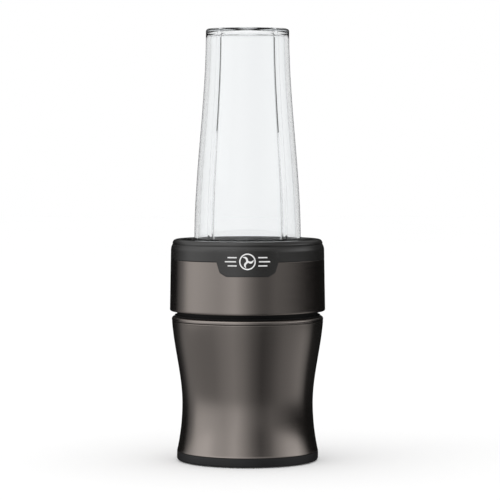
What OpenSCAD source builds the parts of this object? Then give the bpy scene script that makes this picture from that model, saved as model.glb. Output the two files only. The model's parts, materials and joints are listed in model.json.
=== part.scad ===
// Personal countertop blender: motor base, twist-lock collar, blade assembly and inverted cup.
// Millimetres, +Z up, origin on the rest plane at the centre of the base, front towards -Y.

/* [Base] */
// Height of the black foot ring
foot_h = 7.3; // [6.5:0.1:8]
// Outer radius at the waist of the hourglass sleeve
waist_r = 50.6; // [50.4:0.1:52]
// Height of the waist above the rest plane
waist_z = 44.5; // [42:0.5:50]
// How far the sleeve flares out from the waist down to the foot
foot_flare = 4.1; // [3:0.1:5]
// How far the sleeve flares out from the waist up to the shoulder
top_flare = 8.2; // [8:0.05:9]
// Height of the shoulder, where the shadow groove starts
body_h = 113; // [113:0.5:117]

/* [Collar] */
// Height of the shadow groove between the base and the collar
groove_h = 3; // [2.5:0.1:4]
// Outer radius of the metal collar band at its lower edge
collar_r = 60.1; // [60:0.1:62]
// Height of the metal collar band
band_h = 40; // [39.5:0.5:42]
// Height of the black bezel above the band
bezel_h = 16; // [15:0.5:18]
// How far the label tab hangs below the bezel
tab_drop = 11; // [10:0.5:15]
// Half the width of the label tab at the bezel
tab_half_w = 24; // [20:0.5:26]

/* [Cup] */
// Outer radius of the cup just above the collar
cup_wide_r = 41.1; // [40.9:0.1:41.3]
// Outer radius of the cup near its closed end
cup_narrow_r = 32.1; // [30:0.1:36]
// Thickness of the cup's wall
cup_wall = 2.4; // [2:0.1:2.8]
// Height of the cup's closed end above the collar's rim
cup_reach = 161.4; // [140:0.1:175]
// Number of inner ribs in the cup
rib_count = 4; // [3:1:6]

/* [Drive] */
// Angle that the cup turns from dropping in to locked
twist_angle = 18; // [12:1:18]
// Travel of the interlock plunger
switch_travel = 2.5; // [1.5:0.1:2.5]
// Radius of the motor shaft
motor_shaft_r = 4; // [3.5:0.1:4.5]
// Radius of the stator pack
stator_r = 38; // [36:0.5:38]
// Number of fan blades
fan_blades = 9; // [7:1:12]

/* [Hidden] */
$fn = 96;

// Gaps: a running fit, and the space left between bodies that move past each other
run_gap = 0.05;
gap = 0.3;
overlap = 0.2;

// Heights up the base
foot_proud = 0.6;
cover_z0 = 1.4;
cover_z1 = 4.2;
sleeve_z0 = foot_h + 0.2;
sleeve_z1 = body_h - 4.7;
sleeve_wall = 1.2;
flare_len = 72;
plate_z0 = body_h - 6.5;
plate_z1 = plate_z0 + 3;
neck_r = 54.5;

// Housing shell inside the sleeve
shell_r = waist_r - sleeve_wall - 0.4;
shell_wall = 2.4;
shell_in_r = shell_r - shell_wall;
shell_top = body_h - 6.7;

// Feet, cover screws and the cord's gland
foot_ring_r = 38;
foot_pad_r = 6;
cover_screw_r = 42.5;
cover_screw_first = 20;
gland_z = 14.2;
gland_r = 5.4;
cord_bore_r = 3.4;
flange_w = 1.6;

// Collar
collar_z = body_h + groove_h;
seam_z = collar_z + band_h;
rim_z = seam_z + bezel_h;
band_wall = 1.2;
band_taper = 0.7;
well_floor_z0 = collar_z + 1.3;
well_floor_z1 = well_floor_z0 + 3;
well_r = 50.3;
well_out_r = 54.3;
well_top = rim_z - 6;
lip_z0 = seam_z - 4;
lip_z1 = seam_z;
lip_in_r = 46.5;
tab_proud = 0.5;
tab_rise = 9.4;
emblem_z = seam_z + 0.6;
emblem_half_h = 7;
face_top = rim_z - 5.4;
bend_z = emblem_z + emblem_half_h;
collar_screw_r = 42.5;

// Lock ring and the lugs that it carries round
lug_count = 3;
lug_w = 16;
lug_r = 49.4;
lug_z0 = well_floor_z1 + 22.4;
lug_z1 = lug_z0 + 6;
ring_z0 = well_floor_z1 + gap;
ring_floor = 4.4;
ring_top = lip_z0 - gap;
ring_r = well_r - gap;
ring_in_r = 46;

// Blade holder
holder_z0 = ring_z0 + ring_floor + gap;
holder_z1 = ring_top - 0.9;
holder_r = ring_in_r - 0.5;
holder_in_r = 42.3;
holder_floor_z0 = holder_z0 + 3.8;
holder_floor_z1 = holder_floor_z0 + 3.4;
boss_top = holder_floor_z1 + 6.6;
blade_shaft_r = 3;
bushing_r = 6;
gasket_h = 2.6;

// Cup
cup_z0 = holder_floor_z1 + gasket_h + gap;
cup_neck_r = 40;
cup_stop_z = holder_z1 + 0.4;
cup_stop_h = 2;
cup_stop_r = 44;
cup_top = rim_z + cup_reach;
cup_end_r = 2.6;
taper_z0 = rim_z - 2;
taper_len = cup_reach - 1.4;
rib_w_deg = 9;
rib_depth = 1.6;
dome_r = 9;

// Couplings: four dogs a side with play for the twist
dog_count = 4;
dog_w = 20;
dog_in_r = 4.6;
dog_out_r = 10.5;
drive_z0 = plate_z1 + 3;
drive_z1 = well_floor_z1 - 1.6;
driven_z0 = holder_z0 - 0.6;
driven_z1 = holder_floor_z0 - gap;

// Motor stack
shelf_in_r = 33.5;
shelf_z0 = 21;
shelf_z1 = 24;
damper_ring_r = 39;
damper_h = 5;
lower_bracket_z0 = shelf_z1 + damper_h;
bracket_t = 3;
commutator_r = 13;
commutator_z0 = 37;
commutator_z1 = 47;
brush_z = (commutator_z0 + commutator_z1) / 2;
stator_z0 = 54;
stator_z1 = 88;
upper_bracket_z0 = 97;
bolt_r = 1.9;
bolt_ring_r = 34.4;
armature_r = 24.5;
pole_r = 25.3;
shoe_x = pole_r * cos(58);
coil_x = 18;
neck_half_w = 9;

// Interlock: plunger, spring, lever and switch
plunger_r = 2.5;
plunger_x = 40;
plunger_top = ring_z0 + 0.2 + switch_travel;
nose_r = 1.2;
nose_z = plate_z0 - 0.9;
lever_len = 14;
lever_t = 0.8;
lever_axis_z = nose_z - gap - lever_t / 2;
switch_top = lever_axis_z - 3.6;
switch_h = 9.3;
button_y = lever_len / 2;
switch_y0 = -5;
switch_y1 = lever_len + 2.4;
switch_half_w = 3.2;

// Blades on their shaft
blade_t = 1.5;
blade_z0 = boss_top + 1.8;
spacer_h = 1.2;
blade_step = blade_t + spacer_h;

// Smooth step from 0 to 1, level at both ends
function smooth(t) = let (u = min(max(t, 0), 1)) 3 * pow(u, 2) - 2 * pow(u, 3);

// Outer radius of the hourglass at height z
function body_radius(z) = z < waist_z
    ? waist_r + foot_flare * pow((waist_z - z) / (waist_z - foot_h), 2)
    : waist_r + top_flare * smooth((z - waist_z) / flare_len);

// Outer radius of the collar at height z
function collar_radius(z) = collar_r - band_taper * (z - collar_z) / band_h;

// Outer radius of the collar's face, band and bezel, at height z
function face_radius(z) = z < bend_z
    ? collar_radius(z)
    : collar_radius(z) - 0.7 * pow((z - bend_z) / (face_top - bend_z), 1.6);

// Outer radius of the cup at height z
function cup_radius(z) = cup_wide_r - (cup_wide_r - cup_narrow_r) * smooth((z - taper_z0) / taper_len);

// Points of an arc in the r-z plane, from angle a0 to a1
function arc(cr, cz, r, a0, a1, steps) = [
    for (i = [0:steps]) let (a = a0 + (a1 - a0) * i / steps) [cr + r * cos(a), cz + r * sin(a)]
];

// Heights from z0 to z1 in equal steps
function heights(z0, z1, steps) = [for (i = [0:steps]) z0 + (z1 - z0) * i / steps];

// Points of a coil spring's wire: rings of sides points along a helix
function wire_ring(r, wire_r, z, a, sides) = [
    for (j = [0:sides - 1]) let (b = 360 * j / sides)
        [(r + wire_r * cos(b)) * cos(a), (r + wire_r * cos(b)) * sin(a), z + wire_r * sin(b)]
];

// A ring or washer about Z
module ring(r_in, r_out, z0, z1) {
    translate([0, 0, z0]) difference() {
        cylinder(r = r_out, h = z1 - z0);
        translate([0, 0, -1]) cylinder(r = r_in, h = z1 - z0 + 2);
    }
}

// A disc or rod about Z
module rod(r, z0, z1) {
    translate([0, 0, z0]) cylinder(r = r, h = z1 - z0);
}

// Part of a ring, from angle a0 to a1
module sector(r_in, r_out, z0, z1, a0, a1) {
    rotate([0, 0, a0]) rotate_extrude(angle = a1 - a0) translate([r_in, z0])
        square([r_out - r_in, z1 - z0]);
}

// Copies round Z
module around(n, r, first = 0) {
    for (i = [0:n - 1]) rotate([0, 0, first + i * 360 / n]) translate([r, 0, 0]) children();
}

// A turned shape from its outline in the r-z plane
module lathe(points) {
    rotate_extrude() polygon(points);
}

// A box from its lowest and highest corners
module block(lo, hi) {
    translate(lo) cube(hi - lo);
}

// A pan-head screw with its head down at z0
module screw(z0, head_r, head_h, shank_r, len) {
    rod(head_r, z0, z0 + head_h);
    rod(shank_r, z0 + head_h - overlap, z0 + len);
}

/* Feet, covers and shells */

module rubber_feet() {
    color("#1b1b1b") around(4, foot_ring_r, 45) {
        rod(foot_pad_r, 0, cover_z0 + 1.2);
    }
}

module foot_ring() {
    outer = body_radius(foot_h);
    edge = 1.4;
    outline = concat(
        [[51.7, foot_proud], [outer - edge - 0.2, foot_proud]],
        arc(outer - edge + 0.2, foot_proud + edge, edge, -80, 0, 6),
        [[outer, foot_h], [50.5, foot_h], [50.5, cover_z1 + 0.1], [51.7, cover_z1 + 0.1]]
    );
    color("#1d1c1c") lathe(outline);
}

module bottom_cover() {
    vent_in = 13;
    vent_out = 31;
    vents = 20;
    color("#202020") difference() {
        union() {
            rod(51.6, cover_z0, cover_z1);
            ring(8, 10, cover_z1 - overlap, cover_z1 + 2);
        }
        around(4, foot_ring_r, 45) rod(foot_pad_r, 0, cover_z0 + 1.2);
        around(4, cover_screw_r, cover_screw_first) {
            rod(3.6, 0, cover_z0 + 1.5);
            rod(1.7, 0, cover_z1 + 1);
        }
        for (i = [0:vents - 1]) rotate([0, 0, (i + 0.5) * 360 / vents])
            block([vent_in, -1.2, 0], [vent_out, 1.2, cover_z1 + 1]);
    }
}

module cover_screws() {
    color("#b9b9b9") around(4, cover_screw_r, cover_screw_first) difference() {
        screw(cover_z0 + 0.1, 3.2, 1.4, 1.5, 12);
        rod(1.1, 0, cover_z0 + 1);
    }
}

// A rod along +Y at the gland's height
module gland_rod(r, y0, y1) {
    translate([0, y0, gland_z]) rotate([-90, 0, 0]) cylinder(r = r, h = y1 - y0);
}

module cord_gland() {
    inner = shell_in_r - 2.4;
    flange_y = body_radius(gland_z - gland_r - 1.8) + 0.1;
    color("#161616") difference() {
        union() {
            gland_rod(gland_r, inner, flange_y + 1);
            gland_rod(gland_r + flange_w, flange_y, flange_y + 2.2);
            gland_rod(gland_r + 1, inner, inner + 1.2);
        }
        gland_rod(cord_bore_r, inner - 1, flange_y + 4);
    }
}

module metal_sleeve() {
    lows = heights(sleeve_z0, waist_z, 8);
    highs = heights(waist_z, sleeve_z1, 12);
    zs = concat(lows, [for (i = [1:len(highs) - 1]) highs[i]]);
    n = len(zs);
    outline = concat(
        [for (z = zs) [body_radius(z), z]],
        [for (i = [0:n - 1]) let (z = zs[n - 1 - i]) [body_radius(z) - sleeve_wall, z]]
    );
    color("#6b6360") difference() {
        lathe(outline);
        gland_rod(gland_r + 0.1, 30, 70);
    }
}

module housing_shell() {
    color("#262525") difference() {
        union() {
            ring(shell_in_r, shell_r, cover_z1 + 0.1, shell_top);
            ring(shell_in_r + 1, body_radius(shell_top) - sleeve_wall - 0.5, shell_top - 2, shell_top);
            ring(shelf_in_r, shell_in_r + overlap, shelf_z0, shelf_z1);
            intersection() {
                around(4, cover_screw_r, cover_screw_first) rod(4, cover_z1 + 0.1, shelf_z0 + overlap);
                rod(shell_in_r + 1, 0, shelf_z1);
            }
        }
        around(4, cover_screw_r, cover_screw_first) rod(1.6, 0, 16);
        gland_rod(gland_r + 0.1, 30, 70);
        around(4, damper_ring_r) rod(2, shelf_z0 - 1, shelf_z1 + 1);
    }
}

module top_housing() {
    shoulder_r = body_radius(sleeve_z1) + 0.1;
    inside_r = shoulder_r - 1.6;
    seat_z = sleeve_z1 + 0.3;
    outline = concat(
        [[9, plate_z0], [inside_r, plate_z0], [inside_r, seat_z]],
        arc(shoulder_r - 0.5, seat_z + 0.5, 0.5, -90, 0, 3),
        arc(shoulder_r - 2.2, body_h - 2.2, 2.2, 0, 65, 5),
        [[neck_r, body_h], [neck_r, well_floor_z0]],
        [[neck_r - 3, well_floor_z0], [neck_r - 3, plate_z1], [9, plate_z1]]
    );
    color("#332f2d") difference() {
        lathe(outline);
        translate([plunger_x, 0, 0]) rod(plunger_r + run_gap, plate_z0 - 1, plate_z1 + 1);
        around(3, collar_screw_r, 60) rod(1.7, plate_z0 - 1, plate_z1 + 1);
    }
    color("#332f2d") around(3, collar_screw_r, 60) ring(1.7, 4, plate_z1 - overlap, well_floor_z0);
}

/* Collar */

module collar_band() {
    edge = 1.2;
    outline = concat(
        [[neck_r + 0.8, collar_z], [collar_r - edge, collar_z]],
        arc(collar_r - edge, collar_z + edge, edge, -90, 0, 5),
        [[collar_radius(seam_z), seam_z - 0.2], [collar_radius(seam_z) - band_wall, seam_z - 0.2]],
        [[collar_r - band_wall, collar_z + edge + 0.2], [neck_r + 0.8, collar_z + edge]]
    );
    color("#6e6764") lathe(outline);
}

// The label tab's outline seen from the front, with its corners cut
module tab_outline() {
    corner = 4.5;
    low = seam_z - tab_drop;
    high = seam_z + tab_rise;
    polygon([
        [-tab_half_w, seam_z + 2], [-tab_half_w + 3, low + 3], [-tab_half_w + 8, low],
        [tab_half_w - 8, low], [tab_half_w - 3, low + 3], [tab_half_w, seam_z + 2],
        [tab_half_w - 1.6, high - 1.6], [tab_half_w - corner, high],
        [-tab_half_w + corner, high], [-tab_half_w + 1.6, high - 1.6]
    ]);
}

// A thin skin on the front of the collar, between two offsets from its face, cut to a front outline
module front_skin(off_in, off_out, z0, z1, steps = 8) {
    zs = heights(z0, z1, steps);
    n = len(zs) - 1;
    intersection() {
        lathe(concat(
            [for (z = zs) [face_radius(z) + off_out, z]],
            [for (i = [0:n]) [face_radius(zs[n - i]) + off_in, zs[n - i]]]
        ));
        rotate([90, 0, 0]) linear_extrude(height = collar_r + 2) children();
    }
}

module collar_bezel() {
    side = face_radius(seam_z);
    wall = 2.4;
    crest = 54.8;
    round_r = 3.2;
    outline = concat(
        [[side, seam_z]],
        [for (z = heights(bend_z, face_top, 3)) [face_radius(z), z]],
        arc(side - 1.1 - round_r, rim_z - round_r, round_r, 10, 80, 5),
        [[crest, rim_z]],
        arc(well_r + 1.9, rim_z - 1.6, 1.6, 90, 180, 4),
        [[well_r + 0.3, well_top + 0.1], [crest - 0.4, well_top + 0.1], [crest - 0.4, rim_z - 3]],
        [[side - 0.8 - wall, rim_z - 6], [side - wall, seam_z]]
    );
    color("#232222") {
        lathe(outline);
        front_skin(0.02, tab_proud, seam_z - tab_drop - 1, seam_z) tab_outline();
        front_skin(-1, tab_proud, seam_z, seam_z + tab_rise) tab_outline();
    }
}

// A curved leaf of the emblem's rotor
module emblem_leaf() {
    difference() {
        translate([2.2, 1.1]) circle(r = 2.4);
        translate([2.2, 2.8]) circle(r = 2.6);
    }
}

module emblem() {
    dash_h = 0.9;
    pitch = 3.1;
    color("#e8e8e8") front_skin(tab_proud, tab_proud + 0.4, emblem_z - emblem_half_h, bend_z, 1) {
        translate([0, emblem_z]) {
            difference() {
                circle(r = 6.2);
                circle(r = 5.3);
            }
            for (i = [0:2]) rotate(i * 120) emblem_leaf();
            for (side = [-1, 1], row = [-1:1])
                translate([side * (12.8 - abs(row) * 1.3), row * pitch])
                    square([8.4 - 1.6 * abs(row), dash_h], center = true);
        }
    }
}

module cup_well() {
    color("#1c1c1c") difference() {
        union() {
            rod(well_out_r, well_floor_z0, well_floor_z1);
            ring(well_r, well_out_r, well_floor_z0, well_top);
            ring(lip_in_r, well_r + overlap, lip_z0, lip_z1);
            ring(13, 15, well_floor_z1 - overlap, well_floor_z1 + 2.6);
            ring(well_out_r - overlap, collar_radius(seam_z) - band_wall - 0.3, seam_z - 5, seam_z - 3);
        }
        rod(13, well_floor_z0 - 1, well_floor_z1 + 1);
        for (i = [0:lug_count - 1])
            sector(lip_in_r - 1, lug_r + 0.5, lip_z0 - 1, lip_z1 + 1,
                i * 360 / lug_count - lug_w / 2 - 1, i * 360 / lug_count + lug_w / 2 + 1);
        translate([plunger_x, 0, 0]) rod(plunger_r + run_gap, well_floor_z0 - 1, well_floor_z1 + 1);
        around(3, collar_screw_r, 60) rod(1.55, well_floor_z0 - 1, well_floor_z1 - 0.8);
    }
}

module collar_screws() {
    color("#b9b9b9") around(3, collar_screw_r, 60)
        screw(plate_z0 - 1.5, 3, 1.5, 1.5, well_floor_z1 - 1 - plate_z0 + 1.5);
}

/* Motor */

module motor_dampers() {
    color("#2b2b2b") around(4, damper_ring_r) {
        ring(1.9, 4.2, shelf_z1, shelf_z1 + damper_h);
        rod(1.9, shelf_z0 - 0.5, shelf_z1 + damper_h);
    }
}

// A bracket plate with two flats, four windows and a bearing seat
module bracket_plate(z0, seat_r, plate_r, flat) {
    difference() {
        intersection() {
            rod(plate_r, z0, z0 + bracket_t);
            block([-flat, -plate_r, z0 - 1], [flat, plate_r, z0 + bracket_t + 1]);
        }
        rod(seat_r, z0 - 1, z0 + bracket_t + 1);
        around(4, 22) rod(5.5, z0 - 1, z0 + bracket_t + 1);
        around(4, bolt_ring_r, 45) rod(bolt_r + 0.1, z0 - 1, z0 + bracket_t + 1);
    }
}

module lower_bracket() {
    color("#9a9c9f") {
        bracket_plate(lower_bracket_z0, 9, 43.5, 43.5);
        ring(7.6, 10.5, lower_bracket_z0 - 2, lower_bracket_z0 + 4.5);
    }
}

module upper_bracket() {
    color("#9a9c9f") {
        bracket_plate(upper_bracket_z0, 11.2, 38, 31.5);
        ring(11.2, 14, upper_bracket_z0 - 1, upper_bracket_z0 + 5);
        around(4, bolt_ring_r, 45) ring(bolt_r + 0.1, 2.45, stator_z1, upper_bracket_z0 + overlap);
    }
}

module lower_bearing() {
    color("#b98a4a") ring(motor_shaft_r + run_gap, 7.6, lower_bracket_z0 - 2, lower_bracket_z0 + 4.5);
}

module upper_bearing() {
    z0 = upper_bracket_z0 - 1;
    color("#c7c9cc") {
        ring(motor_shaft_r + run_gap, 6.2, z0, z0 + 6);
        ring(9.2, 11.2, z0, z0 + 6);
        ring(6.1, 9.3, z0 + 0.6, z0 + 1);
        ring(6.1, 9.3, z0 + 5, z0 + 5.4);
        around(8, 7.7) translate([0, 0, z0 + 3]) sphere(r = 1.7);
    }
}

module stator_core() {
    color("#7d7f82") difference() {
        union() {
            ring(32.4, stator_r, stator_z0, stator_z1);
            for (a = [0, 180]) rotate([0, 0, a]) {
                intersection() {
                    ring(pole_r, 27.6, stator_z0, stator_z1);
                    block([shoe_x, -40, stator_z0 - 1], [40, 40, stator_z1 + 1]);
                }
                block([26.6, -neck_half_w, stator_z0], [33, neck_half_w, stator_z1]);
            }
        }
        around(4, bolt_ring_r, 45) rod(bolt_r + 0.1, stator_z0 - 1, stator_z1 + 1);
    }
}

module field_coils() {
    end_h = 5.4;
    window = neck_half_w + 0.5;
    color("#a65a2a") for (a = [0, 180]) rotate([0, 0, a]) difference() {
        intersection() {
            ring(27.9, 31.4, stator_z0 - end_h, stator_z1 + end_h);
            block([coil_x, -40, stator_z0 - 10], [40, 40, stator_z1 + 10]);
        }
        block([coil_x - 1, -window, stator_z0 - 0.4], [40, window, stator_z1 + 0.4]);
    }
}

module motor_bolts() {
    low = lower_bracket_z0 - 1.8;
    high = upper_bracket_z0 + bracket_t;
    color("#8b8d90") around(4, bolt_ring_r, 45) {
        rod(bolt_r, low, high + 2.4);
        rod(3.2, low, low + 1.8);
        ring(bolt_r, 3.4, high, high + 2);
    }
}

module brush_holders() {
    bridge_z = lower_bracket_z0 + bracket_t;
    color("#caa45a") for (a = [90, 270]) rotate([0, 0, a]) {
        difference() {
            block([16.5, -4.6, brush_z - 5.2], [31, 4.6, brush_z + 5.2]);
            block([15, -3.1, brush_z - 4.1], [32, 3.1, brush_z + 4.1]);
        }
        block([27, -4.6, bridge_z], [31, 4.6, brush_z - 5.2]);
    }
}

module carbon_brushes() {
    color("#3a3a3c") for (a = [90, 270]) rotate([0, 0, a]) difference() {
        block([11, -3, brush_z - 4], [28.5, 3, brush_z + 4]);
        rod(commutator_r + run_gap, commutator_z0 - 2, commutator_z1 + 2);
    }
}

module air_baffle() {
    color("#1f1f1f") {
        ring(35.2, 36.8, cover_z1 + 0.1, shelf_z0);
        ring(33.6, 36.8, shelf_z0 - 1.4, shelf_z0);
    }
}

module control_board() {
    board_y = 41;
    color("#2f6b45") block([-15, board_y, 52], [15, board_y + 1.6, 90]);
    color("#3a3a3c") {
        block([-10, board_y + 1.6, 70], [-1, board_y + 4.2, 82]);
        for (x = [1, 6]) block([x, board_y + 1.6, 58], [x + 4, board_y + 4, 66]);
    }
    color("#c9b27a") block([-9, board_y + 1.6, 56], [-4, board_y + 4, 61]);
}

/* Interlock */

module switch_bracket() {
    inner = plunger_x - switch_half_w - 1.6;
    color("#9a9c9f") {
        block([inner, switch_y0, switch_top - switch_h], [inner + 1.6, switch_y1, plate_z0]);
        block([inner - 5, switch_y0, plate_z0 - 1.6], [inner + overlap, switch_y1, plate_z0]);
    }
}

module microswitch() {
    color("#1a1a22") difference() {
        union() {
            block(
                [plunger_x - switch_half_w, switch_y0, switch_top - switch_h],
                [plunger_x + switch_half_w, switch_y1, switch_top]
            );
            for (s = [-1, 1])
                block(
                    [plunger_x + s * 2.6 - 0.6, lever_len - 1.6, switch_top - overlap],
                    [plunger_x + s * 2.6 + 0.6, lever_len + 1.6, lever_axis_z + 1.2]
                );
        }
        translate([plunger_x, button_y, 0]) rod(1.3, switch_top - 5, switch_top + 1);
        translate([plunger_x - 5, lever_len, lever_axis_z]) rotate([0, 90, 0])
            cylinder(r = 0.7 + run_gap, h = 10);
    }
    low = switch_top - switch_h;
    color("#c8ccd0") for (y = [0, 5, 10])
        block([plunger_x - 0.4, y - 2, low - 5], [plunger_x + 0.4, y + 1, low]);
}

module switch_button() {
    color("#b03a2e") translate([plunger_x, button_y, 0])
        rod(1.1, switch_top - 3, lever_axis_z - lever_t / 2 - 0.1);
}

module switch_lever() {
    color("#c8ccd0") {
        block(
            [plunger_x - 1.8, -2.4, lever_axis_z - lever_t / 2],
            [plunger_x + 1.8, lever_len, lever_axis_z + lever_t / 2]
        );
        translate([plunger_x - 3.2, lever_len, lever_axis_z]) rotate([0, 90, 0])
            cylinder(r = 0.7, h = 6.4);
    }
}

module interlock_plunger() {
    flange_z1 = well_floor_z0 - 0.2;
    color("#d8d5cc") translate([plunger_x, 0, 0]) {
        rod(nose_r, nose_z, plate_z0 + 1);
        rod(plunger_r, plate_z0 + 0.8, plunger_top - plunger_r);
        translate([0, 0, plunger_top - plunger_r]) sphere(r = plunger_r);
        rod(4.6, flange_z1 - 1.2, flange_z1);
    }
}

module plunger_spring() {
    turns = 4;
    steps = 14;
    sides = 8;
    wire_r = 0.35;
    low = plate_z1 + wire_r;
    high = well_floor_z0 - 1.4 - wire_r;
    count = turns * steps;
    rise = (high - low) / count;
    points = [
        for (i = [0:count], p = wire_ring(3.6, wire_r, low + rise * i, 360 * i / steps, sides)) p
    ];
    walls = [
        for (i = [0:count - 1], j = [0:sides - 1]) let (k = (j + 1) % sides)
            [i * sides + j, (i + 1) * sides + j, (i + 1) * sides + k, i * sides + k]
    ];
    near = [for (j = [0:sides - 1]) j];
    far = [for (j = [0:sides - 1]) count * sides + sides - 1 - j];
    color("#c8ccd0") translate([plunger_x, 0, 0])
        polyhedron(points = points, faces = concat([near], walls, [far]), convexity = 8);
}

/* Spinning motor parts */

module motor_shaft() {
    color("#c9ccd1") rod(motor_shaft_r, 9.5, drive_z1 - 2);
}

module armature_core() {
    slots = 12;
    color("#6f7276") difference() {
        ring(motor_shaft_r, armature_r, stator_z0, stator_z1);
        for (i = [0:slots - 1]) rotate([0, 0, i * 360 / slots])
            block([14, -1.9, stator_z0 - 1], [22.5, 1.9, stator_z1 + 1]);
    }
}

module armature_windings() {
    slots = 12;
    color("#b5662e") {
        for (z0 = [stator_z0 - 6, stator_z1 + 0.1]) ring(motor_shaft_r + 3, 22, z0, z0 + 5.9);
        for (i = [0:slots - 1]) rotate([0, 0, i * 360 / slots])
            block([14.2, -1.7, stator_z0 - 0.5], [21.5, 1.7, stator_z1 + 0.5]);
    }
}

module commutator() {
    bars = 24;
    cut_in = commutator_r - 1.2;
    color("#c08050") difference() {
        ring(motor_shaft_r, commutator_r, commutator_z0, commutator_z1);
        for (i = [0:bars - 1]) rotate([0, 0, (i + 0.5) * 360 / bars])
            block([cut_in, -0.25, commutator_z0 - 1], [commutator_r + 1, 0.25, commutator_z1 - 1.5]);
    }
}

module cooling_fan() {
    fan_r = 32.4;
    plate_top = 18.4;
    color("#2a2a2a") {
        ring(motor_shaft_r, 8, 10, plate_top);
        ring(7.8, fan_r, plate_top - 1.6, plate_top);
        for (i = [0:fan_blades - 1]) rotate([0, 0, i * 360 / fan_blades])
            translate([12, 0, 0]) rotate([0, 0, 28]) block([0, -0.8, 10], [20, 0.8, plate_top - 1.5]);
    }
}

// The dogs of one coupling half
module dogs(z0, z1, first) {
    for (i = [0:dog_count - 1]) {
        a = first + i * 360 / dog_count;
        sector(dog_in_r, dog_out_r, z0, z1, a - dog_w / 2, a + dog_w / 2);
    }
}

module drive_coupling() {
    color("#2b2b2b") {
        difference() {
            rod(dog_out_r + 1, drive_z0, drive_z1);
            rod(motor_shaft_r, drive_z0 - 1, drive_z1 - 2);
        }
        dogs(drive_z1 - overlap, driven_z0 - gap, 0);
    }
}

/* Lock ring and blade holder */

// Space over the plunger in the ring's underside: its roof slopes, to push the plunger as the ring turns
module cam_groove() {
    spare = 8;
    travel_len = plunger_x * sin(twist_angle / 2);
    roof = plunger_top + gap;
    slope = switch_travel / (2 * travel_len);
    reach = travel_len + 6;
    outline = [
        [-reach, ring_z0 - 1], [reach, ring_z0 - 1],
        [reach, roof + slope * (reach - travel_len)], [-reach, roof - slope * (reach + travel_len)]
    ];
    intersection() {
        sector(plunger_x - 3.4, plunger_x + 3.4, ring_z0 - 1, ring_z0 + 5, -spare, twist_angle + spare);
        rotate([0, 0, twist_angle / 2]) translate([plunger_x + 5, 0, 0]) rotate([90, 0, -90])
            linear_extrude(height = 10) polygon(outline);
    }
}

module lock_ring() {
    color("#3a3a3c") difference() {
        union() {
            ring(30, ring_r, ring_z0, ring_z0 + ring_floor);
            ring(ring_in_r, ring_r, ring_z0, ring_top);
        }
        for (i = [0:lug_count - 1])
            sector(ring_in_r - 1, ring_r + 1, lug_z0 - gap, ring_top + 1,
                i * 360 / lug_count - lug_w / 2 - 0.6, i * 360 / lug_count + lug_w / 2 + 0.6);
        cam_groove();
    }
}

module blade_holder() {
    grips = 24;
    color("#242424") difference() {
        union() {
            ring(holder_in_r, holder_r, holder_z0, holder_z1);
            ring(bushing_r, holder_in_r + overlap, holder_floor_z0, holder_floor_z1);
            ring(bushing_r, 9.5, holder_floor_z0, boss_top);
            ring(16, 18, holder_z0, holder_floor_z0 + overlap);
            for (i = [0:lug_count - 1])
                sector(holder_r - overlap, lug_r, lug_z0, lug_z1,
                    i * 360 / lug_count - lug_w / 2, i * 360 / lug_count + lug_w / 2);
        }
        for (i = [0:grips - 1]) rotate([0, 0, (i + 0.5) * 360 / grips])
            translate([holder_r + 1.4, 0, 0]) rod(1.9, holder_z0 - 1, lug_z0 - 2);
    }
}

module blade_bushing() {
    color("#b98a4a") ring(blade_shaft_r + run_gap, bushing_r, holder_floor_z0, boss_top);
}

module shaft_seal() {
    color("#8b2f2a") ring(blade_shaft_r + run_gap, 8.4, boss_top, boss_top + 1.3);
}

module cup_gasket() {
    color("#d9d9d6") ring(36.6, cup_neck_r + 0.9, holder_floor_z1, holder_floor_z1 + gasket_h);
}

/* Cup */

module cup() {
    steps = 26;
    inner_top = cup_top - cup_wall;
    walls = heights(taper_z0, cup_top - cup_end_r, steps);
    outline = concat(
        [[0, inner_top], [0, cup_top]],
        [[cup_radius(cup_top) - cup_end_r, cup_top]],
        arc(cup_radius(cup_top) - cup_end_r, cup_top - cup_end_r, cup_end_r, 75, 15, 4),
        [for (i = [0:steps]) let (z = walls[steps - i]) [cup_radius(z), z]],
        [[cup_wide_r, cup_stop_z + cup_stop_h], [cup_stop_r, cup_stop_z + cup_stop_h]],
        [[cup_stop_r, cup_stop_z], [cup_neck_r, cup_stop_z], [cup_neck_r, cup_z0]],
        [[cup_neck_r - cup_wall, cup_z0], [cup_neck_r - cup_wall, cup_stop_z]],
        [for (i = [0:steps - 1]) [cup_radius(walls[i]) - cup_wall, walls[i]]],
        [[cup_radius(cup_top) - cup_wall - 1.6, inner_top]]
    );
    color([0.86, 0.92, 0.95, 0.45]) {
        difference() {
            lathe(outline);
            translate([0, 0, inner_top - 0.6]) cylinder(r1 = dome_r, r2 = dome_r - 1.5, h = 1.4);
        }
        for (i = [0:rib_count - 1]) rotate([0, 0, 45 + i * 360 / rib_count - rib_w_deg / 2])
            rotate_extrude(angle = rib_w_deg) polygon(concat(
                [for (z = walls) [cup_radius(z) - cup_wall + 0.4, z]],
                [for (i = [0:steps]) let (z = walls[steps - i]) [cup_radius(z) - cup_wall - rib_depth, z]]
            ));
    }
}

/* Spinning blade parts */

module blade_shaft() {
    color("#c9ccd1") rod(blade_shaft_r, driven_z0 + 1, blade_z0 + 3 * blade_step + 2);
}

module driven_coupling() {
    color("#2b2b2b") {
        difference() {
            rod(dog_out_r + 1.5, driven_z0, driven_z1);
            rod(blade_shaft_r, driven_z0 + 1, driven_z1 + 1);
        }
        dogs(drive_z1 + gap, driven_z0 + overlap, 45);
    }
}

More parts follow.
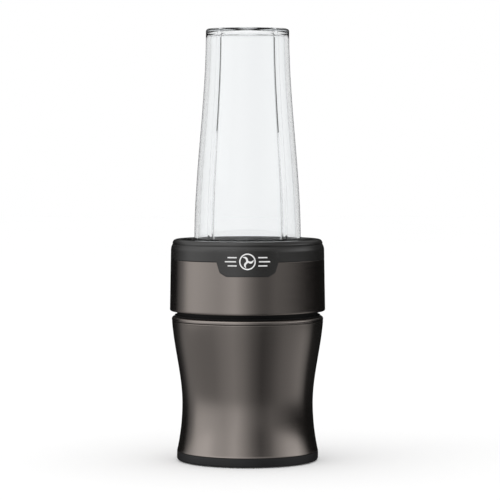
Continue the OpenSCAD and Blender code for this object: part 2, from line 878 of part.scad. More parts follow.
// A pair of blades on one hub, swept back and bent by tilt at the hub's edge
module blade_pair(z0, length, tilt, first) {
    hub_r = 7.4;
    root_w = 9;
    tip_w = 4;
    sweep = 3;
    for (a = [first, first + 180]) rotate([0, 0, a]) translate([hub_r - 1.6, 0, z0 + blade_t / 2])
        rotate([0, -tilt, 0]) translate([0, 0, -blade_t / 2]) linear_extrude(height = blade_t)
            polygon([
                [-0.6, -root_w / 2], [length * 0.7, -root_w / 2 + 1], [length, sweep + tip_w / 2],
                [length - 4, sweep + tip_w / 2 + 1], [-0.6, root_w / 2]
            ]);
    ring(blade_shaft_r, hub_r, z0, z0 + blade_t);
}

module lower_blade() {
    color("#d3d6da") blade_pair(blade_z0, 21, 6, 0);
}

module middle_blade() {
    color("#d3d6da") blade_pair(blade_z0 + blade_step, 21, 28, 60);
}

module upper_blade() {
    color("#d3d6da") blade_pair(blade_z0 + 2 * blade_step, 20, 56, 120);
}

module blade_spacers() {
    color("#b5b8bc") for (i = [0, 1])
        ring(blade_shaft_r, 5, blade_z0 + blade_t + i * blade_step, blade_z0 + (i + 1) * blade_step);
}

module blade_nut() {
    z0 = blade_z0 + 2 * blade_step + blade_t;
    color("#c7cacf") difference() {
        union() {
            translate([0, 0, z0]) cylinder(r = 5.3, h = 3.4, $fn = 6);
            translate([0, 0, z0 + 3.2]) cylinder(r1 = 4.4, r2 = 3.2, h = 2.4);
        }
        rod(blade_shaft_r, z0 - 1, blade_z0 + 3 * blade_step + 2);
    }
}

rubber_feet();
foot_ring();
bottom_cover();
cover_screws();
cord_gland();
metal_sleeve();
housing_shell();
top_housing();
collar_band();
collar_bezel();
emblem();
cup_well();
collar_screws();
motor_dampers();
lower_bracket();
upper_bracket();
lower_bearing();
upper_bearing();
stator_core();
field_coils();
motor_bolts();
brush_holders();
carbon_brushes();
air_baffle();
control_board();
switch_bracket();
microswitch();
motor_shaft();
armature_core();
armature_windings();
commutator();
cooling_fan();
drive_coupling();
interlock_plunger();
plunger_spring();
switch_button();
switch_lever();
lock_ring();
blade_holder();
blade_bushing();
shaft_seal();
cup_gasket();
cup();
blade_shaft();
driven_coupling();
lower_blade();
middle_blade();
upper_blade();
blade_spacers();
blade_nut();
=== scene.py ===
"""Looks of the personal blender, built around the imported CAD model. Metres, +Z up, front towards -Y."""

import json
import math

import bmesh
import bpy
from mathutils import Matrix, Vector


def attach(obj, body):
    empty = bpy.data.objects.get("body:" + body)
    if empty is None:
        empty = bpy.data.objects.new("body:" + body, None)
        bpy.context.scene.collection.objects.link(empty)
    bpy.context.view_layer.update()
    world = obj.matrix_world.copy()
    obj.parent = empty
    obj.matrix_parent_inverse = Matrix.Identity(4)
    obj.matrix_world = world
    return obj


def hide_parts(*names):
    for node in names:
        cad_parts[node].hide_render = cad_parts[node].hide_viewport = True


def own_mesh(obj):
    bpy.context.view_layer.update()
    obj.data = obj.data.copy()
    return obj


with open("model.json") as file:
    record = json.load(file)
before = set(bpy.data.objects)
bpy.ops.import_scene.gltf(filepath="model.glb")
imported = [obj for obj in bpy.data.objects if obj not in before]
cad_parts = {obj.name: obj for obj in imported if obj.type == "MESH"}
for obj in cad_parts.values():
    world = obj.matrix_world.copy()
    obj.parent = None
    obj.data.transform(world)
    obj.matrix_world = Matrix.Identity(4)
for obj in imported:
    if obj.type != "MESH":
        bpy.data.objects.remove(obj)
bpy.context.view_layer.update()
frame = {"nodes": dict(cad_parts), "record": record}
NODES = frame["nodes"]
MM = 0.001
TURN_STEPS = 192
SHARP_DEGREES = 32


# ---------------------------------------------------------------- camera, floor and light

FOCAL_MM = 176.4
SENSOR_MM = 36.0
CAMERA_DISTANCE = 1.894
CAMERA_HEIGHT = 0.2478
CAMERA_SIDE = 0.0019
CAMERA_PITCH = math.radians(2.57)
LIGHT_TARGET = Vector((0, 0, 0.14))


def make_camera():
    """A long lens a little above the middle of the object, looking slightly down."""
    data = bpy.data.cameras.new("camera")
    data.lens = FOCAL_MM
    data.sensor_width = SENSOR_MM
    data.clip_end = 50
    camera = bpy.data.objects.new("camera", data)
    bpy.context.scene.collection.objects.link(camera)
    camera.location = (CAMERA_SIDE, -CAMERA_DISTANCE, CAMERA_HEIGHT)
    camera.rotation_euler = (math.pi / 2 - CAMERA_PITCH, 0, 0)
    bpy.context.scene.camera = camera


def area_light(name, azimuth, elevation, distance, size, power):
    """A rectangular softbox aimed at the object. Azimuth 0 is the camera's side, positive to its right."""
    data = bpy.data.lights.new(name, "AREA")
    data.shape = "RECTANGLE"
    data.size, data.size_y = size
    data.energy = power
    light = bpy.data.objects.new(name, data)
    bpy.context.scene.collection.objects.link(light)
    a, e = math.radians(azimuth), math.radians(elevation)
    offset = Vector((math.sin(a) * math.cos(e), -math.cos(a) * math.cos(e), math.sin(e))) * distance
    light.location = LIGHT_TARGET + offset
    light.rotation_euler = (-offset).to_track_quat("-Z", "Y").to_euler()
    light.visible_glossy = False


# What a mirror on the object sees, as (azimuth, brightness): below the horizon, level with it, and above it.
# Azimuth 0 is the camera's side, positive to its right.
SEEN_BELOW = (
    (-180, 0.02), (-150, 0.02), (-135, 0.08), (-118, 0.3), (-96, 0.3), (-78, 0.28), (-58, 0.28),
    (-40, 0.37), (-24, 0.43), (-8, 0.34), (8, 0.18), (24, 0.08), (40, 0.13), (58, 0.23), (78, 0.3),
    (98, 0.4), (110, 0.28), (122, 0.03), (180, 0.01),
)
SEEN_LEVEL = (
    (-180, 0.01), (-132, 0.01), (-112, 0.3), (-98, 0.72), (-84, 0.76), (-70, 0.72), (-56, 0.66),
    (-42, 0.6), (-18, 0.75), (-6, 0.52), (6, 0.32), (18, 0.19), (30, 0.17), (42, 0.22), (56, 0.18),
    (70, 0.12), (85, 0.05), (100, 0.01), (180, 0.005),
)
SEEN_ABOVE = (
    (-180, 0.02), (-150, 0.02), (-132, 0.06), (-116, 0.5), (-92, 0.95), (-72, 1.0), (-54, 0.72),
    (-38, 0.66), (-22, 0.8), (-8, 0.55), (8, 0.24), (22, 0.1), (38, 0.2), (54, 0.48), (72, 0.75),
    (92, 0.9), (106, 0.5), (122, 0.04), (180, 0.01),
)
SEEN_HIGH = (
    (-180, 0.4), (-120, 0.6), (-60, 1.15), (-20, 0.95), (10, 0.55), (60, 0.3), (120, 0.25), (180, 0.4),
)


def make_world():
    """A white room for sight and for matt surfaces. Mirror reflections see the softboxes above."""
    world = bpy.data.worlds.new("studio")
    bpy.context.scene.world = world
    world.use_nodes = True
    nodes, links = world.node_tree.nodes, world.node_tree.links
    nodes.clear()

    def math_node(operation, first, *numbers):
        node = nodes.new("ShaderNodeMath")
        node.operation = operation
        links.new(first, node.inputs[0])
        for socket, number in zip(node.inputs[1:], numbers):
            if isinstance(number, float):
                socket.default_value = number
            else:
                links.new(number, socket)
        return node.outputs[0]

    def ramp_round(turn, seen):
        """The brightness round the horizon, from a list of (azimuth, brightness)."""
        most = max(level for _, level in seen)
        ramp = nodes.new("ShaderNodeValToRGB")
        stops = ramp.color_ramp.elements
        stops.remove(stops[1])
        for i, (azimuth, level) in enumerate(seen):
            stop = stops[0] if i == 0 else stops.new(azimuth / 360 + 0.5)
            stop.position = azimuth / 360 + 0.5
            stop.color = (level / most, level / most, level / most, 1)
        links.new(turn, ramp.inputs[0])
        return math_node("MULTIPLY", ramp.outputs[0], float(most))

    def blend(height, low, high, below, above):
        """Below up to the height low, above from the height high."""
        part = nodes.new("ShaderNodeMapRange")
        part.inputs["From Min"].default_value, part.inputs["From Max"].default_value = low, high
        links.new(height, part.inputs["Value"])
        mix = nodes.new("ShaderNodeMix")
        links.new(part.outputs[0], mix.inputs[0])
        links.new(below, mix.inputs[2])
        links.new(above, mix.inputs[3])
        return mix.outputs[0]

    place = nodes.new("ShaderNodeTexCoord")
    split = nodes.new("ShaderNodeSeparateXYZ")
    links.new(place.outputs["Generated"], split.inputs[0])
    x, y, height = split.outputs
    turn = math_node("ARCTAN2", x, math_node("MULTIPLY", y, -1.0))
    turn = math_node("MULTIPLY_ADD", turn, 0.5 / math.pi, 0.5)
    low = blend(height, -0.22, -0.06, ramp_round(turn, SEEN_BELOW), ramp_round(turn, SEEN_LEVEL))
    low = blend(height, 0.03, 0.1, low, ramp_round(turn, SEEN_ABOVE))
    seen = blend(height, 0.3, 0.55, low, ramp_round(turn, SEEN_HIGH))

    mirror = nodes.new("ShaderNodeBackground")
    mirror.inputs[0].default_value = (1, 1, 1, 1)
    links.new(seen, mirror.inputs[1])
    white = nodes.new("ShaderNodeBackground")
    white.inputs[0].default_value = (1, 1, 1, 1)
    path = nodes.new("ShaderNodeLightPath")
    clear = math_node("SUBTRACT", path.outputs["Is Glossy Ray"], path.outputs["Is Transmission Ray"])
    mix = nodes.new("ShaderNodeMixShader")
    links.new(clear, mix.inputs[0])
    links.new(white.outputs[0], mix.inputs[1])
    links.new(mirror.outputs[0], mix.inputs[2])
    out = nodes.new("ShaderNodeOutputWorld")
    links.new(mix.outputs[0], out.inputs[0])


def make_floor(material):
    """A plain pale floor that the base stands on."""
    half = 6.0
    mesh = bpy.data.meshes.new("floor")
    corners = [(-half, -half, 0), (half, -half, 0), (half, half, 0), (-half, half, 0)]
    mesh.from_pydata(corners, [], [(0, 1, 2, 3)])
    floor = bpy.data.objects.new("floor", mesh)
    bpy.context.scene.collection.objects.link(floor)
    floor.data.materials.append(material)
    floor.visible_glossy = False


# ---------------------------------------------------------------- materials

TURNED_GRAIN = (0.08, 0.08, 1)  # noise stretch for a turned part: long round the axis, short along it


class Shader:
    """A Principled material with helpers for its procedural colour, roughness and bump."""

    def __init__(self, name, color, roughness, metallic=0.0, **sockets):
        self.material = bpy.data.materials.new(name)
        self.material.use_nodes = True
        self.nodes = self.material.node_tree.nodes
        self.links = self.material.node_tree.links
        self.main = self.nodes["Principled BSDF"]
        self.main.inputs["Base Color"].default_value = (*color, 1)
        self.main.inputs["Roughness"].default_value = roughness
        self.main.inputs["Metallic"].default_value = metallic
        for key, value in sockets.items():
            self.main.inputs[key.replace("_", " ")].default_value = value
        self.coords = self.nodes.new("ShaderNodeTexCoord").outputs["Object"]
        self.normal = None

    def noise(self, scale, detail, stretch=(1, 1, 1)):
        """A noise value in object space, stretched along the axes."""
        mapping = self.nodes.new("ShaderNodeMapping")
        mapping.inputs["Scale"].default_value = stretch
        self.links.new(self.coords, mapping.inputs[0])
        noise = self.nodes.new("ShaderNodeTexNoise")
        noise.inputs["Scale"].default_value = scale
        noise.inputs["Detail"].default_value = detail
        self.links.new(mapping.outputs[0], noise.inputs["Vector"])
        return noise.outputs[0]

    def ramp(self, value, low, high, socket):
        """The value, from 0.3 to 0.7, becomes a colour or number from low to high on a shader socket."""
        ramp = self.nodes.new("ShaderNodeValToRGB")
        stops = ramp.color_ramp.elements
        stops[0].position, stops[1].position = 0.3, 0.7
        for stop, v in zip(stops, (low, high)):
            stop.color = (*v, 1) if isinstance(v, tuple) else (v, v, v, 1)
        self.links.new(value, ramp.inputs[0])
        self.links.new(ramp.outputs[0], self.main.inputs[socket])
        return self

    def bump(self, value, strength, depth):
        """Adds fine relief of that depth in metres. Calls add up."""
        bump = self.nodes.new("ShaderNodeBump")
        bump.inputs["Strength"].default_value = strength
        bump.inputs["Distance"].default_value = depth
        self.links.new(value, bump.inputs["Height"])
        if self.normal:
            self.links.new(self.normal, bump.inputs["Normal"])
        self.normal = bump.outputs[0]
        self.links.new(self.normal, self.main.inputs["Normal"])
        return self


def shade(color, factor):
    return tuple(min(1.0, c * factor) for c in color)


def plastic(name, color, roughness, grain=2200, depth=0.00003, **sockets):
    """Moulded plastic: a fine spark-eroded grain and slight unevenness in gloss and colour."""
    s = Shader(name, color, roughness, **sockets)
    s.ramp(s.noise(60, 4), shade(color, 0.85), shade(color, 1.15), "Base Color")
    s.ramp(s.noise(35, 5), roughness * 0.9, min(1.0, roughness * 1.12), "Roughness")
    s.bump(s.noise(grain, 2), 0.35, depth)
    return s.material


def metal(name, color, roughness, grain=900, stretch=(1, 1, 1)):
    """Metal with its grain stretched along the way it was worked."""
    s = Shader(name, color, roughness, 1.0)
    s.ramp(s.noise(grain * 0.3, 4, stretch), shade(color, 0.86), shade(color, 1.12), "Base Color")
    s.ramp(s.noise(grain * 0.5, 3, stretch), roughness * 0.8, min(1.0, roughness * 1.25), "Roughness")
    s.bump(s.noise(grain, 2, stretch), 0.3, 0.00002)
    return s.material


def gunmetal():
    """The base's skin: dark coated steel, finely brushed round the body."""
    color = (0.36, 0.322, 0.298)
    s = Shader("gunmetal", color, 0.17, 1.0)
    s.ramp(s.noise(14, 3), shade(color, 0.97), shade(color, 1.03), "Base Color")
    s.ramp(s.noise(2400, 2, (0.02, 0.02, 1.0)), 0.15, 0.19, "Roughness")
    s.bump(s.noise(2600, 1, (0.02, 0.02, 1.0)), 0.05, 0.000008)
    return s.material


def clear_plastic():
    """The cup: clear moulded copolyester with faint flow marks, greyer where the wall is seen edge on."""
    s = Shader("clear_cup", (0.975, 0.983, 0.987), 0.02, IOR=1.5, Transmission_Weight=1.0)
    s.ramp(s.noise(30, 3), 0.008, 0.02, "Roughness")
    s.bump(s.noise(14, 1, (1, 1, 0.3)), 0.05, 0.00004)
    tint = s.nodes.new("ShaderNodeVolumeAbsorption")
    tint.inputs["Color"].default_value = (0.4, 0.44, 0.46, 1)
    tint.inputs["Density"].default_value = 18
    s.links.new(tint.outputs[0], s.nodes["Material Output"].inputs["Volume"])
    return s.material


def floor_material():
    """Matt pale studio floor."""
    s = Shader("floor", (0.95, 0.95, 0.95), 0.6, Specular_IOR_Level=0.0, Emission_Strength=0.05)
    s.main.inputs["Emission Color"].default_value = (1, 1, 1, 1)
    s.ramp(s.noise(3, 4), (0.945, 0.945, 0.945), (0.955, 0.955, 0.955), "Base Color")
    return s.material


def make_materials():
    """One material for each of the record's slots."""
    return {
        "gunmetal": gunmetal(),
        "satin_black": plastic("satin_black", (0.012, 0.0115, 0.011), 0.24, Specular_IOR_Level=1.0),
        "matte_black": plastic("matte_black", (0.01, 0.01, 0.01), 0.5),
        # shoulder_black is black plastic made darker and less shiny than the other blacks, as painted shade
        # for the groove under the collar where it is seen
        "shoulder_black": plastic("shoulder_black", (0.005, 0.005, 0.005), 0.5, Specular_IOR_Level=0.2),
        "ring_black": plastic("ring_black", (0.008, 0.008, 0.009), 0.45),
        "rubber": plastic("rubber", (0.014, 0.014, 0.014), 0.72, 1500, 0.00006),
        "screw_steel": metal("screw_steel", (0.62, 0.62, 0.63), 0.3),
        "emblem_white": plastic("emblem_white", (0.78, 0.78, 0.78), 0.4),
        "cast_aluminium": metal("cast_aluminium", (0.58, 0.59, 0.6), 0.5, 700),
        "bronze": metal("bronze", (0.6, 0.42, 0.2), 0.45),
        "lamination_steel": metal("lamination_steel", (0.32, 0.33, 0.34), 0.45, 1500, TURNED_GRAIN),
        "copper_wire": metal("copper_wire", (0.5, 0.2, 0.08), 0.35, 1200, TURNED_GRAIN),
        "copper_bar": metal("copper_bar", (0.7, 0.4, 0.24), 0.25, 1200, TURNED_GRAIN),
        "brass": metal("brass", (0.7, 0.53, 0.24), 0.3),
        "carbon": plastic("carbon", (0.02, 0.02, 0.022), 0.6),
        "board_green": plastic("board_green", (0.02, 0.12, 0.05), 0.35),
        "switch_black": plastic("switch_black", (0.012, 0.012, 0.02), 0.35),
        "spring_steel": metal("spring_steel", (0.7, 0.72, 0.74), 0.2),
        "shaft_steel": metal("shaft_steel", (0.62, 0.63, 0.65), 0.22, 1400, TURNED_GRAIN),
        "coupling_black": plastic("coupling_black", (0.02, 0.02, 0.02), 0.45),
        "natural_nylon": plastic("natural_nylon", (0.6, 0.58, 0.5), 0.45),
        "button_red": plastic("button_red", (0.4, 0.03, 0.02), 0.35),
        "seal_silicone": plastic("seal_silicone", (0.25, 0.03, 0.02), 0.5),
        "gasket_silicone": plastic("gasket_silicone", (0.6, 0.6, 0.57), 0.45),
        "clear_cup": clear_plastic(),
        "blade_steel": metal("blade_steel", (0.68, 0.69, 0.71), 0.24, 800, (1, 0.1, 1)),
    }


# ---------------------------------------------------------------- mesh helpers


def smooth_shade(mesh, sharp_degrees):
    """Smooth shading that keeps edges sharper than the angle crisp."""
    mesh.shade_smooth()
    mesh.set_sharp_from_angle(angle=math.radians(sharp_degrees))


def finish_mesh(name, bm, sharp_degrees=SHARP_DEGREES):
    """Cleans a bmesh, shades it smooth with crisp edges, and makes it a piece."""
    bmesh.ops.remove_doubles(bm, verts=bm.verts, dist=1e-7)
    bmesh.ops.recalc_face_normals(bm, faces=bm.faces)
    mesh = bpy.data.meshes.new(name)
    bm.to_mesh(mesh)
    bm.free()
    smooth_shade(mesh, sharp_degrees)
    piece = bpy.data.objects.new(name, mesh)
    bpy.context.scene.collection.objects.link(piece)
    return piece


def rounded(points, radii):
    """A closed outline with its corners rounded. radii gives one radius a point."""
    steps = 6
    out = []
    n = len(points)
    for i, (p, radius) in enumerate(zip(points, radii)):
        here = Vector(p)
        before, after = Vector(points[i - 1]) - here, Vector(points[(i + 1) % n]) - here
        half = before.angle(after) / 2
        cut = min(radius / math.tan(half), before.length * 0.49, after.length * 0.49)
        start, end = here + before.normalized() * cut, here + after.normalized() * cut
        for k in range(steps + 1):
            t = k / steps
            out.append(tuple(start * (1 - t) ** 2 + here * 2 * t * (1 - t) + end * t ** 2))
    return out


def bridge(bm, rings):
    """Faces between each ring of vertices and the next. A ring may repeat one vertex."""
    for a, b in zip(rings, rings[1:]):
        for k in range(len(a)):
            m = (k + 1) % len(a)
            corners = list(dict.fromkeys((a[k], a[m], b[m], b[k])))
            if len(corners) > 2:
                bm.faces.new(corners)


def bridge_capped(bm, rings):
    """Faces between the rings, and a flat face on the first and the last."""
    bridge(bm, rings)
    bm.faces.new(rings[0])
    bm.faces.new(rings[-1])


def between(low, high, steps):
    return [low + (high - low) * i / steps for i in range(steps + 1)]


def turned(name, outline, body, slot, *nodes):
    """A piece turned about Z from a closed outline of (r, z) in millimetres, which stands for CAD nodes."""
    bm = bmesh.new()
    angles = between(0, 2 * math.pi, TURN_STEPS)[:-1]
    rings = [[bm.verts.new((r * math.cos(a) * MM, r * math.sin(a) * MM, z * MM)) for a in angles]
             for r, z in outline]
    bridge(bm, rings + rings[:1])
    return stand_for(finish_mesh(name, bm), body, slot, *nodes)


def drill(piece, radius, start, end):
    """Cuts a round hole, in millimetres, through a piece."""
    start, end = Vector(start) * MM, Vector(end) * MM
    bm = bmesh.new()
    turn = (end - start).to_track_quat("Z", "Y").to_matrix().to_4x4()
    turn.translation = (start + end) / 2
    bmesh.ops.create_cone(bm, cap_ends=True, segments=64, radius1=radius * MM, radius2=radius * MM,
                          depth=(end - start).length, matrix=turn)
    mesh = bpy.data.meshes.new("cutter")
    bm.to_mesh(mesh)
    bm.free()
    cutter = bpy.data.objects.new("cutter", mesh)
    bpy.context.scene.collection.objects.link(cutter)
    cut = piece.modifiers.new("hole", "BOOLEAN")
    cut.object = cutter
    cut.operation = "DIFFERENCE"
    cut.solver = "EXACT"
    result = bpy.data.meshes.new_from_object(piece.evaluated_get(bpy.context.evaluated_depsgraph_get()))
    piece.modifiers.clear()
    piece.data = result
    bpy.data.objects.remove(cutter)
    smooth_shade(result, SHARP_DEGREES)


def stand_for(piece, body, slot, *nodes):
    """The piece rides on a body, takes a slot's finish and replaces CAD nodes."""
    piece.data.materials.clear()
    piece.data.materials.append(MATERIALS[slot])
    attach(piece, body)
    if nodes:
        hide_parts(*nodes)
    return piece


# ---------------------------------------------------------------- the object's shape, in millimetres

FOOT_Z, WAIST_Z, BODY_Z, SLEEVE_TOP = 7.3, 44.5, 113.0, 108.3
COLLAR_Z, SEAM_Z, BEND_Z, RIM_Z = 116.0, 156.0, 163.6, 172.0
CUP_FOOT, CUP_STOP, CUP_TAPER, CUP_TOP, CUP_WALL = 135.4, 151.2, 170.0, 333.4, 2.4
WAIST_R, COLLAR_R, CUP_R = 50.6, 60.1, 41.1
GLAND_Z, PLUNGER_X = 14.2, 40.0
THREAD_LEAD = 4.0


def smooth(t):
    """A smooth step from 0 to 1, level at both ends."""
    t = min(max(t, 0.0), 1.0)
    return 3 * t ** 2 - 2 * t ** 3


def body_radius(z):
    """Outer radius of the hourglass."""
    if z < WAIST_Z:
        return WAIST_R + 4.1 * ((WAIST_Z - z) / (WAIST_Z - FOOT_Z)) ** 2
    return WAIST_R + 8.2 * smooth((z - WAIST_Z) / 72)


def face_radius(z):
    """Outer radius of the collar's face: a slight cone that bends inwards near the rim."""
    cone = COLLAR_R - 0.7 * (z - COLLAR_Z) / 40
    return cone if z < BEND_Z else cone - 0.7 * ((z - BEND_Z) / 3) ** 1.6


def cup_radius(z):
    """Outer radius of the cup's wall."""
    return CUP_R - 9 * smooth((z - CUP_TAPER) / 160)


def arc(r, z, radius, first, last, steps=6):
    """Points of an arc in the (r, z) plane."""
    return [(r + radius * math.cos(math.radians(a)), z + radius * math.sin(math.radians(a)))
            for a in between(first, last, steps)]


def make_sleeve():
    """The hourglass metal sleeve, with the hole for the cord gland at its back."""
    wall, edge = 1.2, 0.35
    low, high = FOOT_Z + 0.2, SLEEVE_TOP
    outline = arc(body_radius(low) - edge, low + edge, edge, -90, 0, 4)
    outline += [(body_radius(z), z) for z in between(low + 2 * edge, high - 2 * edge, 90)]
    outline += arc(body_radius(high) - edge, high - edge, edge, 0, 90, 4)
    outline += [(body_radius(z) - wall, z) for z in between(high, low, 60)]
    sleeve = turned("metal_sleeve_skin", outline, "base", "gunmetal", "metal_sleeve")
    drill(sleeve, 5.5, (0, 30, GLAND_Z), (0, 70, GLAND_Z))


def make_foot_ring():
    """The black ring round the bottom edge."""
    outer, bottom, edge, lip = body_radius(FOOT_Z), 0.6, 1.5, 0.3
    outline = [(51.7, bottom)] + arc(outer - edge, bottom + edge, edge, -90, 0, 8)
    outline += arc(outer - lip, FOOT_Z - lip, lip, 0, 90, 3) + [(50.5, FOOT_Z), (50.5, 4.3), (51.7, 4.3)]
    turned("foot_ring_skin", outline, "base", "ring_black", "foot_ring")


def make_shoulder():
    """The metal cap above the sleeve, and the black top housing inside it with the hole for the plunger."""
    shoulder, seat, top = body_radius(SLEEVE_TOP) + 0.1, SLEEVE_TOP + 0.3, BODY_Z - 1
    outline = arc(shoulder - 0.5, seat + 0.5, 0.5, -90, 0, 5) + arc(shoulder - 2.2, top - 2.2, 2.2, 0, 70, 10)
    outline += [(56.4, top), (56.4, top - 0.8), (shoulder - 2, top - 1.1), (shoulder - 0.9, top - 2.4)]
    outline += [(shoulder - 0.9, seat)]
    turned("shoulder_cap", outline, "base", "gunmetal")

    outline = [(9, 106.5), (shoulder - 1.6, 106.5), (shoulder - 1.6, seat + 0.1), (shoulder - 1, seat + 0.2)]
    outline += [(shoulder - 1, top - 2.6), (shoulder - 2.1, top - 1.2), (56.3, top - 0.9), (56.3, BODY_Z)]
    outline += [(54.5, BODY_Z), (54.5, 117.3), (51.5, 117.3), (51.5, 109.5), (9, 109.5)]
    housing = turned("top_housing_skin", outline, "base", "shoulder_black", "top_housing")
    drill(housing, 2.55, (PLUNGER_X, 0, 100), (PLUNGER_X, 0, 112))


def make_collar_band():
    """The metal band round the collar."""
    edge, wall = 1.2, 1.2
    outline = [(55.3, COLLAR_Z)] + arc(COLLAR_R - edge, COLLAR_Z + edge, edge, -90, 0, 8)
    outline += [(face_radius(z), z) for z in between(COLLAR_Z + 2 * edge, SEAM_Z - 0.45, 6)]
    outline += arc(face_radius(SEAM_Z) - 0.25, SEAM_Z - 0.45, 0.25, 0, 90, 4)
    outline += [(face_radius(SEAM_Z) - wall, SEAM_Z - 0.2), (COLLAR_R - wall, COLLAR_Z + edge + 0.2),
                (55.3, COLLAR_Z + edge)]
    turned("collar_band_skin", outline, "base", "gunmetal", "collar_band")


def make_bezel():
    """The black bezel above the band, with its round crest and a fine line below it."""
    side, well, rim, line, crest = face_radius(SEAM_Z), 50.3, RIM_Z - 0.6, RIM_Z - 4.7, 3.2
    edge = face_radius(line)
    outline = arc(side - 0.3, SEAM_Z + 0.3, 0.3, -90, 0, 4)
    outline += [(face_radius(z), z) for z in between(SEAM_Z + 0.8, line, 14)]
    outline += [(edge - 0.15, line + 0.15), (edge - 0.6, line + 0.25), (edge - 0.6, line + 0.65)]
    outline += [(edge - 0.25, line + 0.75)]
    outline += arc(edge - 0.2 - crest, rim - crest, crest, 5, 88, 16)
    outline += arc(well + 1.9, rim - 1.6, 1.6, 90, 180, 10)
    outline += [(well + 0.3, 166.1), (54.4, 166.1), (54.4, rim - 3), (side - 3.2, rim - 6)]
    outline += [(side - 2.4, SEAM_Z)]
    turned("bezel_skin", outline, "base", "satin_black", "collar_bezel")


def make_label_plate():
    """The label plate: a thin raised shield on the front of the collar, with rounded edges."""
    low, high, half = SEAM_Z - 11, SEAM_Z + 9.4, 24.0
    outline = rounded(
        [(-half, SEAM_Z + 2), (-half + 3, low + 3), (-half + 8, low),
         (half - 8, low), (half - 3, low + 3), (half, SEAM_Z + 2),
         (half - 1.6, high - 1.6), (half - 4.5, high), (-half + 4.5, high), (-half + 1.6, high - 1.6)],
        [6, 3, 3, 3, 3, 6, 2, 2, 2, 2])
    n = len(outline)
    normals = []
    for i in range(n):
        edge = Vector(outline[(i + 1) % n]) - Vector(outline[i - 1])
        normals.append(Vector((-edge.y, edge.x)).normalized())
    bm = bmesh.new()
    rings = []
    for inset, proud in ((0, -0.7), (0, 0.22), (0.08, 0.38), (0.22, 0.47), (0.45, 0.5)):
        rings.append([bm.verts.new((p[0] + m.x * inset, proud, p[1] + m.y * inset))
                      for p, m in zip(outline, normals)])
    bridge(bm, rings)
    bm.faces.new(rings[-1])
    for axis, cuts in (((1, 0, 0), between(-half, half, 48)), ((0, 0, 1), between(low, high, 14))):
        for cut in cuts[1:-1]:
            bmesh.ops.bisect_plane(bm, geom=bm.verts[:] + bm.edges[:] + bm.faces[:],
                                   plane_co=Vector(axis) * cut, plane_no=axis)
    for v in bm.verts:
        x, proud, z = v.co
        v.co = Vector((x, -math.sqrt((face_radius(z) + proud) ** 2 - x * x), z)) * MM
    stand_for(finish_mesh("label_plate", bm, 40), "base", "satin_black")


def thread_bump(angle, z, start, end):
    """Height, from 0 to 1, of a right-hand thread's ridge that fades at both ends."""
    width = 1.9
    offset = (z - start - THREAD_LEAD * (angle / (2 * math.pi) - 0.5)) % THREAD_LEAD - THREAD_LEAD / 2
    fade = smooth((z - start) / 1.5) * smooth((end - z) / 1.5)
    return fade * smooth(1.25 - abs(offset) / (width / 2) * 1.25)


def cup_outside():
    """The outside of the cup as (r, z), from its closed end down to its open end."""
    top_r, edge, flange, lip = cup_radius(CUP_TOP), 2.2, 43.6, 0.4
    outline = [(0, CUP_TOP), (top_r * 0.4, CUP_TOP), (top_r - 4.5, CUP_TOP)]
    outline += arc(top_r - edge, CUP_TOP - edge, edge, 84, 4, 12)
    outline += [(cup_radius(z), z) for z in between(CUP_TOP - 3.4, CUP_TAPER, 60)]
    outline += [(CUP_R, CUP_STOP + 3.2), (41.3, CUP_STOP + 2.4), (41.9, CUP_STOP + 2)]
    outline += arc(flange, CUP_STOP + 1.6, lip, 90, 0, 4) + arc(flange, CUP_STOP + 0.4, lip, 0, -90, 4)
    outline += [(40.4, CUP_STOP)] + [(40.0, z) for z in between(CUP_STOP - 0.3, CUP_FOOT + 0.5, 60)]
    return outline + arc(39.6, CUP_FOOT + lip, lip, 0, -90, 4)


def cup_inside():
    """The inside of the cup as (r, z), from its open end up to its closed end."""
    inner_r, inner_top, edge = cup_radius(CUP_TOP) - CUP_WALL, CUP_TOP - CUP_WALL, 3.6
    outline = arc(38.0, CUP_FOOT + 0.4, 0.4, -90, -180, 4)
    outline += [(37.6, CUP_STOP - 0.5), (37.9, CUP_STOP + 1.5), (38.7, CUP_STOP + 4)]
    outline += [(cup_radius(z) - CUP_WALL, z) for z in between(CUP_TAPER - 12, CUP_TOP - 8, 60)]
    outline += arc(inner_r - edge, inner_top - edge, edge, 8, 88, 12)
    return outline + [(9.5, inner_top), (9.0, inner_top + 0.2), (8.0, inner_top + 0.7), (0, inner_top + 0.8)]


def thread_relief(angle, z):
    """How far the cup's thread stands out of its neck."""
    low, high = CUP_FOOT + 1, CUP_STOP - 0.2
    return 0.9 * thread_bump(angle, z, low, high) if low < z < high else 0.0


def rib_relief(angle, r, z):
    """How far the cup's inner ribs stand in from its wall."""
    ribs, depth, half, start = 4, 1.6, math.radians(4.5), CUP_TAPER - 13
    pitch = 2 * math.pi / ribs
    nearest = (angle - math.pi / 4 + pitch / 2) % pitch - pitch / 2
    ends = smooth((z - start) / 6) * smooth((r - 16) / 10)
    return depth * ends * smooth((half * 1.05 - abs(nearest)) / (half * 0.3))


def make_cup():
    """The clear cup with its four inner ribs, closed end, stop flange and outer thread."""
    bm = bmesh.new()
    angles = between(0, 2 * math.pi, 480)[:-1]

    def ring(z, radius_at):
        places = [(a, radius_at(a)) for a in angles]
        return [bm.verts.new((r * math.cos(a) * MM, r * math.sin(a) * MM, z * MM)) for a, r in places]

    def point(z):
        return [bm.verts.new((0, 0, z * MM))] * len(angles)

    rings = [ring(z, lambda a: r + thread_relief(a, z)) if r else point(z) for r, z in cup_outside()]
    rings += [ring(z, lambda a: r - rib_relief(a, r, z)) if r else point(z) for r, z in cup_inside()]
    bridge(bm, rings + rings[:1])
    stand_for(finish_mesh("cup_clear", bm, 50), "cup", "clear_cup", "cup")


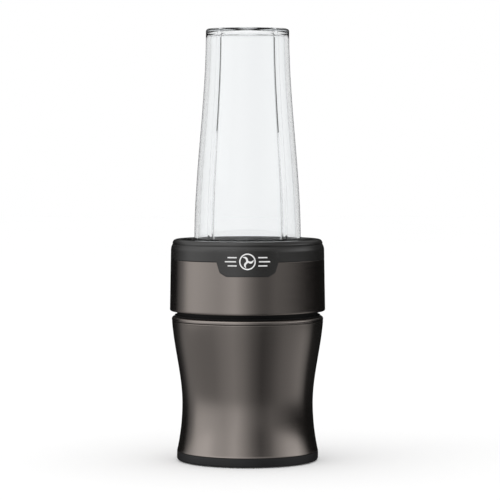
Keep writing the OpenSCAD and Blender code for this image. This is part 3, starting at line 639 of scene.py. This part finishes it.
def tube(name, path, radius):
    """A closed round tube along a path of points in millimetres."""
    sides = 12
    bm = bmesh.new()
    rings = []
    for k, point in enumerate(path):
        along = (path[min(k + 1, len(path) - 1)] - path[max(k - 1, 0)]).normalized()
        across = along.cross(Vector((0, 0, 1))).normalized()
        up = across.cross(along)
        rings.append([bm.verts.new((point + (across * math.cos(a) + up * math.sin(a)) * radius) * MM)
                      for a in between(0, 2 * math.pi, sides)[:-1]])
    bridge_capped(bm, rings)
    return finish_mesh(name, bm, 50)


def make_spring():
    """The interlock's coil spring, built at one length; the real spring shortens as its plunger goes down."""
    turns, steps, coil, wire, low, high = 4, 40, 3.6, 0.35, 109.85, 115.55
    path = []
    for k in range(turns * steps + 1):
        t = k / (turns * steps)
        a = 2 * math.pi * turns * t
        path.append(Vector((PLUNGER_X + coil * math.cos(a), coil * math.sin(a), low + (high - low) * t)))
    spring = stand_for(tube("spring_coil", path, wire), "base", "spring_steel", "plunger_spring")
    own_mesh(spring)


def make_holder_thread():
    """The blade holder's inner thread: a ridge along a helix inside its rim."""
    start, end, wall, crest = CUP_FOOT + 4.2, CUP_STOP - 2.6, 42.4, 41.2
    turns = (end - start) / THREAD_LEAD
    count = int(turns * 144)
    bm = bmesh.new()
    rings = []
    for k in range(count + 1):
        angle = 2 * math.pi * turns * k / count
        z = start + THREAD_LEAD * angle / (2 * math.pi)
        grow = smooth(k / 12) * smooth((count - k) / 12)
        tip = wall - (wall - crest) * grow
        section = ((wall, z - 0.9), (tip, z - 0.25), (tip, z + 0.25), (wall, z + 0.9))
        rings.append([bm.verts.new((r * math.cos(angle) * MM, r * math.sin(angle) * MM, h * MM))
                      for r, h in section])
    bridge_capped(bm, rings)
    stand_for(finish_mesh("holder_thread", bm), "cup_base", "satin_black")


# ---------------------------------------------------------------- run

make_camera()
make_world()
MATERIALS = make_materials()
make_floor(floor_material())
area_light("key_left", -62, 30, 1.5, (0.9, 1.2), 1.5)
area_light("top_soft", 0, 80, 1.6, (1.2, 1.2), 1.0)

for part in frame["record"]["subparts"]:
    node = NODES[part["node"]]
    node.data.materials.clear()
    node.data.materials.append(MATERIALS[part["material_slot"]])

make_sleeve()
make_foot_ring()
make_shoulder()
make_collar_band()
make_bezel()
make_label_plate()
make_cup()
make_holder_thread()
make_spring()

bpy.context.scene.view_settings.view_transform = "Standard"
